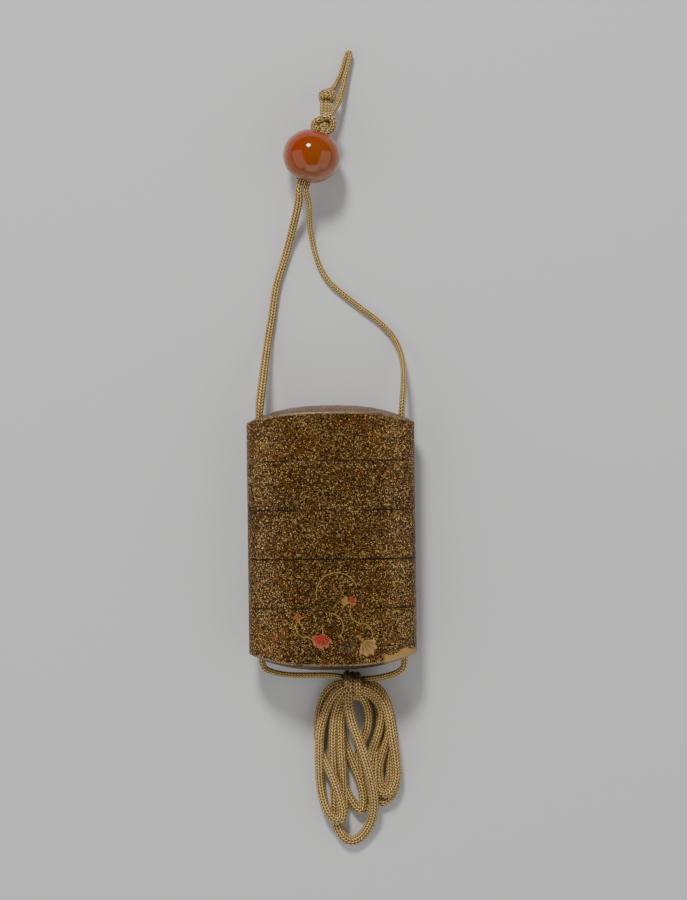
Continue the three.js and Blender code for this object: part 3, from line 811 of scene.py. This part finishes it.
@finish("Sprinkled Gold Lacquer")
def lacquer(tree, shader, place):
    """Lacquer sprinkled with gold under a clear gloss, and a spray of leaves on the front."""
    case = bpy.context.scene.inro_case
    x, y, z = (part / MM for part in parts_of(tree, place))
    density = 1.0 / case.flake
    near, (pick, tone, lean) = cells(tree, place, density)
    deep_pick, deep_tone, _ = cells(tree, place, density * 1.5)[1]
    blotch = noise(tree, place, 110.0, 3.0, 0.6)
    cloud = noise(tree, place, 260.0, 4.0, 0.6)
    dusk = noise(tree, place, 48.0, 2.0)
    gold = blend_colour(tree, blotch.between(0.4, 0.64), case.gold, case.orange)
    lustre = blend_colour(tree, tone.between(0.0, 0.9), faded(case.gold, 0.2), gold)
    bright = blend_colour(tree, tone.between(0.8, 0.95), lustre, (0.85, 0.62, 0.24))
    under = blend_colour(tree, deep_tone ** 2.0, case.ground, faded(case.orange, 0.2))
    behind = blend_colour(tree, deep_pick.between(0.3, 0.42), case.ground, under)
    covered = near.between(0.72, 0.42) * (pick + (dusk - 0.5) * 0.6).between(0.3, 0.36)
    ground = blend_colour(tree, covered, behind, bright)
    look = blend_colour(
        tree, cloud.between(0.4, 0.8) * 0.55, ground, (0.42, 0.33, 0.26), "MULTIPLY")
    # Both domed ends are painted duller: the lid's end towards a lighter brown as painted light
    # from above, the base's end towards near black as painted shade
    along = parts_of(tree, add_node(tree, "ShaderNodeNewGeometry").outputs["Normal"])[1]
    look = blend_colour(tree, along.between(0.5, 0.85) * 0.45, look, (0.2, 0.115, 0.07))
    # Painted shade: the base's end, facing away from the lights, is painted near black
    look = blend_colour(
        tree, (along * -1.0).between(0.5, 0.85) * 0.75, look, (0.05, 0.036, 0.024))
    # The spray of leaves, painted on the front
    front = z.between(*FRONT_STARTS)
    lines, *others = (tendril(x, y, *shape) for shape in TENDRILS)
    for line in others:
        lines = lines.maximum(line)
    look = blend_colour(tree, lines * front * 0.85, look, PAINTED_GOLD)
    worn = 1.0 - cloud.between(0.5, 0.75) * 0.45
    for *shape, paint, strength in LEAVES:
        body, stalk, veins, out = leaf(x, y, *shape)
        paint = paint or case.red
        lit = [min(1.0, c * 1.1 + 0.03) for c in paint]
        toned = blend_colour(tree, veins, faded(paint, 0.5), lit)
        edged = blend_colour(tree, out.between(0.7, 1.0) * 0.4, toned, (0.62, 0.36, 0.14))
        look = blend_colour(tree, stalk * front * strength * 0.8, look, PAINTED_GOLD)
        look = blend_colour(tree, body * front * worn * strength, look, edged)
    # The gold bank low on the right
    top = -37.4 + (x * 0.9).sin() * 0.5 + (x - 17.0) * 0.24 + (cloud - 0.5) * 1.2
    bank = (top - y).between(-0.1, 0.15) * (x + cloud * 4.0).between(17.4, 19.4) * front
    look = blend_colour(tree, bank * (0.7 + cloud * 0.3), look, (0.42, 0.24, 0.075))
    # Rubbed edges, dark with wear at the seams, and a painted highlight as a pale line on both
    # ends' shoulders
    edge_wear_and_highlight = add_node(tree, "ShaderNodeAttribute", attribute_name="edge")
    wear_and_highlight = Term(tree, edge_wear_and_highlight.outputs["Fac"]) * cloud.between(0.3, 0.6)
    # Painted highlight: on the shoulders of both ends the edge is painted pale
    ends = abs(y).between(33.0, 35.0)
    seam_wear_and_shoulder_highlight = blend_colour(tree, ends, (0.014, 0.008, 0.005), (0.34, 0.25, 0.17))
    fill(tree, shader, {
        "Base Color": blend_colour(tree, wear_and_highlight * (0.85 - ends * 0.3), look, seam_wear_and_shoulder_highlight),
        "Metallic": covered * 0.7 * (1.0 - bank * 0.6),
        "Roughness": 0.36 + cloud * 0.12,
        "Normal": bump(tree, lean * near.between(0.6, 0.2), 0.35, 0.05),
        "Coat Normal": bump(tree, noise(tree, place, 420.0, 2.0), 0.12, 0.1),
        "Specular IOR Level": 0.1, "Coat Weight": 0.12, "Coat Roughness": 0.12,
        "Coat IOR": 1.5,
    })


@finish("Inner Lacquer")
def inner_lacquer(tree, shader, place):
    """The rooms, risers and channels: plain brown-black lacquer with a little gold dust."""
    near, (pick, tone, _) = cells(tree, place, 3200.0)
    dust = near.between(0.4, 0.2) * pick.between(0.72, 0.78)
    mottled = blend_colour(
        tree, noise(tree, place, 300.0), (0.018, 0.01, 0.007), (0.035, 0.018, 0.01))
    fill(tree, shader, {
        "Base Color": blend_colour(tree, dust * 0.7, mottled, (0.4, 0.22, 0.06)),
        "Roughness": 0.24 + tone * 0.1,
        "Coat Weight": 0.5, "Coat Roughness": 0.12,
    })


@finish("Orange Agate")
def agate(tree, shader, place):
    """Orange agate with a milky band on one side and fine clouding."""
    bead = bpy.context.scene.inro_bead
    moved = add_node(
        tree, "ShaderNodeMapping",
        {"Vector": place, "Location": [-c * MM for c in BEAD_CENTRE]},
    )
    x, y, _ = (part / (9.0 * MM) for part in parts_of(tree, moved.outputs["Vector"]))
    soft = noise(tree, place, 120.0, 4.0, 0.55, 0.4)
    cloud = noise(tree, place, 420.0, 4.0, 0.6)
    out = (x * x + y * y) ** 0.5
    low = (y * -1.0 + x * 0.25 + (soft - 0.5) * 0.7).between(0.3, 0.9)
    # Paler towards the rim: partly the stone's milky outer layer, partly a painted reflection
    # where the surface turns away
    rim = (out + (soft - 0.5) * 0.2).between(0.78, 1.02)
    milk_and_rim_sheen = (low * 0.8).maximum(rim * 0.8)
    redder = (x * -0.7 + y * 0.7 + (soft - 0.5)).between(-0.2, 0.8)
    core = blend_colour(tree, redder, bead.core, (0.27, 0.028, 0.003))
    veined = blend_colour(tree, cloud.between(0.5, 0.8) * 0.25, core, (0.36, 0.1, 0.012))
    fill(tree, shader, {
        "Base Color": blend_colour(tree, milk_and_rim_sheen, veined, bead.rim),
        "Roughness": 0.06 + cloud * 0.04,
        "Subsurface Weight": 0.15, "Subsurface Radius": (1.0, 0.3, 0.06),
        "Subsurface Scale": 1.6 * MM, "Specular IOR Level": 0.5,
    })


@finish("Pale Card")
def floor_card(tree, shader, place):
    """Plain pale card."""
    plain = bpy.context.scene.inro_studio.floor
    grain = noise(tree, place, 900.0, 3.0)
    fill(tree, shader, {
        "Base Color": blend_colour(tree, grain * 0.3, plain, faded(plain, 0.94)),
        "Roughness": 0.75 + grain * 0.1,
    })


# ---------------------------------------------------------------- the case's surfaces
def oval_points(half_width, half_thickness, back=-math.inf):
    """One ring of an oval section, as across and up, flat where it would pass the back."""
    turn = np.arange(OVAL_SIDES) * 2 * math.pi / OVAL_SIDES
    s, c = np.sin(turn), np.cos(turn)
    across = half_width * np.sign(s) * np.abs(s) ** (2 / OVAL_POWER)
    up = half_thickness * np.sign(c) * np.abs(c) ** (2 / OVAL_POWER)
    return np.column_stack([across, np.maximum(up, back)])


def dome_drop(points, fall):
    """How far an end has fallen from its middle at each point."""
    return (
        END_FALL * np.abs(points[:, 0] / HALF_WIDTH) ** END_FALL_POWER
        + fall * (points[:, 1] / HALF_THICKNESS) ** 2
    )


def lid_top(points, depth=0.0):
    return CASE_LENGTH / 2 - depth - dome_drop(points, LID_FALL)


def base_bottom(points, depth=0.0):
    return depth - CASE_LENGTH / 2 + dome_drop(points, BASE_FALL)


def ring(points, height):
    """A ring of points at one height, or at a height for each."""
    return np.column_stack([points[:, 0], np.broadcast_to(height, len(points)),
                            points[:, 1] + AXIS_HEIGHT])


def rounded_turn(before, corner, after):
    """Rings that round a corner, as a quadratic curve."""
    shares = np.linspace(0, 1, CORNER_STEPS + 1)
    return [(1 - t) ** 2 * before + 2 * t * (1 - t) * corner + t * t * after for t in shares]


def toward(start, end, distance):
    """Rings' points moved from start towards end by a distance."""
    step = end - start
    return start + step / np.linalg.norm(step, axis=1)[:, None] * distance


def loft(name, rings, edges):
    """A closed surface through rings, from the middle of the first to that of the last."""
    count, levels = OVAL_SIDES, len(rings)
    vertices = np.vstack([*rings, rings[0].mean(axis=0), rings[-1].mean(axis=0)]) * MM
    faces = band_faces(count, zip(range(levels - 1), range(1, levels)))
    start, end, top = levels * count, levels * count + 1, (levels - 1) * count
    faces += [(start, (i + 1) % count, i) for i in range(count)]
    faces += [(end, top + i, top + (i + 1) % count) for i in range(count)]
    piece = mesh_piece(name, vertices, faces)
    # The rounded edges carry wear at the seams, and on the ends' shoulders the lacquer's painted
    # highlight
    worn = np.concatenate([np.full(count, share) for share in edges] + [[0.0, 0.0]])
    piece.data.attributes.new("edge", "FLOAT", "POINT").data.foreach_set("value", worn)
    return piece


def case_rings(index):
    """Rings of the lid, index 0, or of a tier, from the room's middle round to the other side."""
    case = bpy.context.scene.inro_case
    edge, shoulder = case.edge / MM, case.shoulder / MM
    outside = oval_points(case.half_width / MM, HALF_THICKNESS, -AXIS_HEIGHT)
    room = oval_points(*ROOM)
    riser = oval_points(*(v + RISER_WALL for v in ROOM))
    socket = oval_points(*(v + RISER_WALL + SOCKET_GAP for v in ROOM))
    rim = TOP_SEAM - (index - 1) * SEAM_PITCH - SEAMS[index - 1] / 2
    foot = TOP_SEAM - index * SEAM_PITCH + SEAMS[index % TIERS] / 2
    # worn marks the rounded edges: wear at the seams, and a painted highlight on the ends'
    # shoulders
    rings, worn = [], []

    def add(new, share=0.0):
        rings.extend(new)
        worn.extend([share] * len(new))

    def wall(low_mid, low_corner, high_corner, high_mid, low_size, high_size):
        """Outside wall with both corners rounded, from the low end to the high end."""
        low = rounded_turn(
            toward(low_corner, low_mid, low_size), low_corner,
            toward(low_corner, high_corner, low_size))
        high = rounded_turn(
            toward(high_corner, low_corner, high_size), high_corner,
            toward(high_corner, high_mid, high_size))
        add(low, 1.0)
        add([toward(low_corner, high_corner, low_size + CORNER_MARGIN)])
        add([toward(high_corner, low_corner, high_size + CORNER_MARGIN)])
        add(high, 1.0)

    if index == 0:
        foot = TOP_SEAM + SEAMS[0] / 2
        add([ring(room * s, lid_top(room * s, WALL)) for s in ROOM_RINGS])
        add([ring(room, foot + RISER_HEIGHT), ring(socket, foot + RISER_HEIGHT),
             ring(socket, foot)])
        top = ring(outside, lid_top(outside))
        inner = ring(outside * DOME_INSET, lid_top(outside * DOME_INSET))
        wall(ring(socket, foot), ring(outside, foot), top, inner, edge, shoulder)
        add([ring(outside * s, lid_top(outside * s)) for s in DOME_RINGS[::-1]])
        return rings, worn
    if index == TIERS:
        add([ring(outside * s, base_bottom(outside * s)) for s in DOME_RINGS])
        low = ring(outside, base_bottom(outside))
        inner = ring(outside * DOME_INSET, base_bottom(outside * DOME_INSET))
        wall(inner, low, ring(outside, rim), ring(riser, rim), shoulder, edge)
    else:
        under = foot + RISER_HEIGHT
        add([ring(socket * 0.3, under), ring(socket, under), ring(socket, foot)])
        wall(ring(socket, foot), ring(outside, foot), ring(outside, rim), ring(riser, rim),
             edge, edge)
    top = rim + RISER_HEIGHT
    add([ring(riser, rim), ring(riser, top - RISER_CHAMFER)])
    add([ring(riser * 0.995, top), ring(room * 1.006, top), ring(room, top - RISER_CHAMFER)])
    if index == TIERS:
        add([ring(room * s, base_bottom(room * s, WALL)) for s in ROOM_RINGS[::-1]])
    else:
        floor = foot + RISER_HEIGHT + FLOOR
        add([ring(room * share, floor + height) for share, height in FLOOR_RINGS])
    return rings, worn


def channel_cutter(side):
    """A round channel through the whole case, eased where the cord comes out."""
    radius = bpy.context.scene.inro_case.channel / MM
    mouth = CASE_LENGTH / 2 - END_FALL * (CHANNEL_OFFSET / HALF_WIDTH) ** END_FALL_POWER
    past, wider = CHANNEL_OVERRUN
    half = [(radius + more, mouth - inside) for inside, more in CHANNEL_MOUTH]
    half.append((radius + wider, CASE_LENGTH / 2 + past))
    profile = [(across, -along) for across, along in reversed(half)] + half
    count, levels = CHANNEL_SIDES, len(profile)
    vertices = turned(profile, count) + (side * CHANNEL_OFFSET, 0, AXIS_HEIGHT)
    faces = [f[::-1] for f in band_faces(count, zip(range(levels - 1), range(1, levels)))]
    faces.append(tuple(range(count)))
    faces.append(tuple(range(levels * count - 1, (levels - 1) * count - 1, -1)))
    return mesh_piece("channel_cutter", vertices * MM, faces)


def upright(piece):
    """Turns a closed mesh's faces outwards if they point in."""
    mesh = piece.data
    mesh.calc_loop_triangles()
    corners = np.array([[mesh.vertices[v].co for v in t.vertices] for t in mesh.loop_triangles])
    volume = np.einsum("ij,ij->i", corners[:, 0], np.cross(corners[:, 1], corners[:, 2])).sum()
    if volume < 0:
        mesh.flip_normals()
    return piece


def case_piece(name, index):
    """The lid, index 0, or a tier, hollow and with its two channels."""
    rings, worn = case_rings(index)
    piece = upright(loft(name, rings, worn))
    for side in (-1, 1):
        cutter = upright(channel_cutter(side))
        cut = piece.modifiers.new("Channel", "BOOLEAN")
        cut.operation = "DIFFERENCE"
        cut.solver = "EXACT"
        cut.object = cutter
        plain_copy(piece)
        bpy.data.objects.remove(cutter)
    mesh = piece.data
    mesh.materials.clear()
    mesh.materials.append(lacquer())
    mesh.materials.append(inner_lacquer())
    hidden = [v + RISER_WALL + SOCKET_GAP + 0.05 for v in ROOM]
    for face in mesh.polygons:
        across, _, up = face.center / MM
        up -= AXIS_HEIGHT
        inside = sum(abs(v / h) ** OVAL_POWER for v, h in zip((across, up), hidden)) < 1
        far = face.center.y / MM
        on_lid = index == 0 and far > DOME_START
        on_base = index == TIERS and far < -DOME_START
        on_dome = abs(face.normal.y) > 0.7 and (on_lid or on_base)
        in_channel = math.hypot(abs(across) - CHANNEL_OFFSET, up) < CHANNEL_REACH
        in_channel = in_channel and abs(face.normal.y) < 0.3
        face.material_index = 1 if (inside and not on_dome) or in_channel else 0
    shade(mesh, SHARP_EDGE)
    belongs(piece, "nashiji_lacquer", f"tier_{index}" if index else "lid")


# ---------------------------------------------------------------- operators
class INRO_OT_camera(bpy.types.Operator):
    """Place the camera straight above, looking down on the lying inro"""

    bl_idname = "inro.camera"
    bl_label = "Camera"

    def execute(self, context):
        camera = bpy.data.cameras.new("camera")
        camera.lens = CAMERA_LENS
        camera.clip_start = 0.01
        object_ = link(bpy.data.objects.new("camera", camera))
        object_.location = [v * MM for v in CAMERA_PLACE]
        object_.rotation_euler = (0, 0, math.radians(CAMERA_TURN))
        context.scene.camera = object_
        return {"FINISHED"}


def through_bead(side, radius):
    """A strand's points in the bead's hole."""
    along = np.array([-math.sin(BEAD_TURN), math.cos(BEAD_TURN), 0])
    across = np.array([along[1], -along[0], 0]) * side * STRAND_OFFSET
    return [(*(np.array(BEAD_CENTRE) + along * s + across), radius) for s in BEAD_STOPS]


class INRO_OT_strands(bpy.types.Operator):
    """Make the two long strands, from the bow's knot through the case and the bead"""

    bl_idname = "inro.strands"
    bl_label = "Long Strands"

    def execute(self, context):
        for name, side, route, radius, end in STRANDS:
            nodes = [f"cord_{name}_{part}" for part in ("below", "inside", "above")]
            braided_cord(
                f"{name}_strand", [*route, *through_bead(side, radius), *end],
                context.scene.inro_cord.thin_columns, nodes, lay="taut",
            )
        return {"FINISHED"}


class INRO_OT_carrying_loop(bpy.types.Operator):
    """Make the small loop at the top that the inro is carried by"""

    bl_idname = "inro.carrying_loop"
    bl_label = "Carrying Loop"

    def execute(self, context):
        columns = context.scene.inro_cord.thin_columns
        braided_cord("carrying_loop", CARRYING_LOOP, columns, ["netsuke_loop"])
        short_cords("link_strand", LINK_STRANDS, CORD_STEP, "knot_link")
        return {"FINISHED"}


class INRO_OT_bow(bpy.types.Operator):
    """Make the bow's loops of braided cord, lying in layers"""

    bl_idname = "inro.bow"
    bl_label = "Bow"

    def execute(self, context):
        columns = context.scene.inro_cord.columns
        for name, (radius, points) in BOW_LOOPS.items():
            lying = [(x, y, max(z, radius + BOW_CLEARANCE), radius) for x, y, z in points]
            braided_cord(name, lying, columns, ["bow_hank"])
        return {"FINISHED"}


class INRO_OT_knots(bpy.types.Operator):
    """Make the three knots out of turns of the same cord"""

    bl_idname = "inro.knots"
    bl_label = "Knots"

    def execute(self, context):
        short_cords("bow_tie", BOW_KNOT_TURNS, TURN_STEP, "bow_knot")
        short_cords("upper_tie", UPPER_KNOT_TURNS, TURN_STEP, "upper_knot")
        short_cords("lower_tie", LOWER_KNOT_TURNS, TURN_STEP, "lower_knot")
        return {"FINISHED"}


class INRO_OT_case(bpy.types.Operator):
    """Make the lid and the four tiers, hollow and lacquered"""

    bl_idname = "inro.case"
    bl_label = "Case"

    def execute(self, context):
        case_piece("lacquer_lid", 0)
        for tier in range(1, TIERS + 1):
            case_piece(f"lacquer_tier_{tier}", tier)
        return {"FINISHED"}


class INRO_OT_bead(bpy.types.Operator):
    """Make the drilled agate bead"""

    bl_idname = "inro.bead"
    bl_label = "Bead"

    def execute(self, context):
        bead = context.scene.inro_bead
        radius, half, hole = (v / MM for v in (bead.radius, bead.half_length, bead.hole))
        mouth = math.acos((hole + BEAD_LIP) / radius)
        profile = [(radius * math.cos(angle), half * math.sin(angle))
                   for angle in -mouth * np.linspace(-1, 1, BEAD_RINGS)]
        end = half * math.sin(mouth)
        lip = [(hole + BEAD_LIP * (1 - math.sin(a)), end - BEAD_LIP * (1 - math.cos(a)))
               for a in np.linspace(0, math.pi / 2, BEAD_LIP_RINGS)[1:]]
        profile += [(across, -along) for across, along in lip] + lip[::-1]
        levels = len(profile)
        faces = band_faces(BEAD_SIDES, [(a, (a + 1) % levels) for a in range(levels)])
        piece = mesh_piece("agate_bead", turned(profile, BEAD_SIDES), faces)
        move = Matrix.Translation(BEAD_CENTRE) @ Matrix.Rotation(BEAD_TURN, 4, "Z")
        piece.data.transform(Matrix.Scale(MM, 4) @ move)
        upright(piece)
        shade(piece.data, BEAD_SHARP_EDGE)
        piece.data.materials.append(agate())
        belongs(piece, "agate", "ojime_bead")
        return {"FINISHED"}


def softbox(name, place, target, size, power, shape="RECTANGLE"):
    """A soft light that faces a point."""
    light = bpy.data.lights.new(name, "AREA")
    light.shape = shape
    light.size, light.size_y = size
    light.energy = power
    object_ = link(bpy.data.objects.new(name, light))
    object_.location = place
    direction = Vector(target) - Vector(place)
    object_.rotation_euler = direction.to_track_quat("-Z", "Y").to_euler()


class INRO_OT_studio(bpy.types.Operator):
    """Lay the pale floor and set up the soft lights"""

    bl_idname = "inro.studio"
    bl_label = "Floor and Lights"

    def execute(self, context):
        studio = context.scene.inro_studio
        corners = [(x * FLOOR_REACH, y * FLOOR_REACH, -FLOOR_DROP * MM)
                   for x, y in ((-1, -1), (1, -1), (1, 1), (-1, 1))]
        floor = mesh_piece("floor", corners, [(0, 1, 2, 3)])
        floor.data.materials.append(floor_card())
        softbox("key", (-0.22, 1.0, 0.92), (0, 0.05, 0), (0.3, 0.3), studio.key, "ELLIPSE")
        for side in (-1, 1):
            softbox(f"side_{side + 1}", (side * 1.35, -0.4, 0.8), (side * 0.35, -0.1, 0),
                    (2.3, 1.5), studio.sides)
        softbox("front", (0, -1.35, 0.75), (0, -0.1, 0), (1.5, 0.9), studio.sides * 0.4)
        world = bpy.data.worlds.new("room")
        world.use_nodes = True
        background = world.node_tree.nodes["Background"]
        background.inputs["Color"].default_value = (0.93, 0.96, 1, 1)
        background.inputs["Strength"].default_value = studio.sky
        context.scene.world = world
        return {"FINISHED"}


class INRO_PT_panel(bpy.types.Panel):
    """The inro's pieces and their settings"""

    bl_idname = "INRO_PT_panel"
    bl_label = "Inro Case"
    bl_space_type = "VIEW_3D"
    bl_region_type = "UI"
    bl_category = "Inro"

    def draw(self, context):
        for name, _ in SETTINGS:
            settings = getattr(context.scene, name)
            box = self.layout.box()
            for key in settings.__annotations__:
                box.prop(settings, key)
        for operator in OPERATORS:
            self.layout.operator(operator.bl_idname)


SETTINGS = (
    ("inro_case", InroCaseSettings),
    ("inro_cord", InroCordSettings),
    ("inro_bead", InroBeadSettings),
    ("inro_studio", InroStudioSettings),
)
OPERATORS = (
    INRO_OT_camera,
    INRO_OT_strands,
    INRO_OT_carrying_loop,
    INRO_OT_bow,
    INRO_OT_knots,
    INRO_OT_case,
    INRO_OT_bead,
    INRO_OT_studio,
)


def register():
    for _, group in SETTINGS:
        bpy.utils.register_class(group)
    for class_ in (*OPERATORS, INRO_PT_panel):
        bpy.utils.register_class(class_)
    for name, group in SETTINGS:
        setattr(bpy.types.Scene, name, PointerProperty(type=group))


def unregister():
    for name, _ in SETTINGS:
        delattr(bpy.types.Scene, name)
    for class_ in (INRO_PT_panel, *reversed(OPERATORS)):
        bpy.utils.unregister_class(class_)
    for _, group in reversed(SETTINGS):
        bpy.utils.unregister_class(group)


def main():
    register()
    for operator in OPERATORS:
        getattr(bpy.ops.inro, operator.bl_idname.partition(".")[2])()


if __name__ == "__main__":
    main()
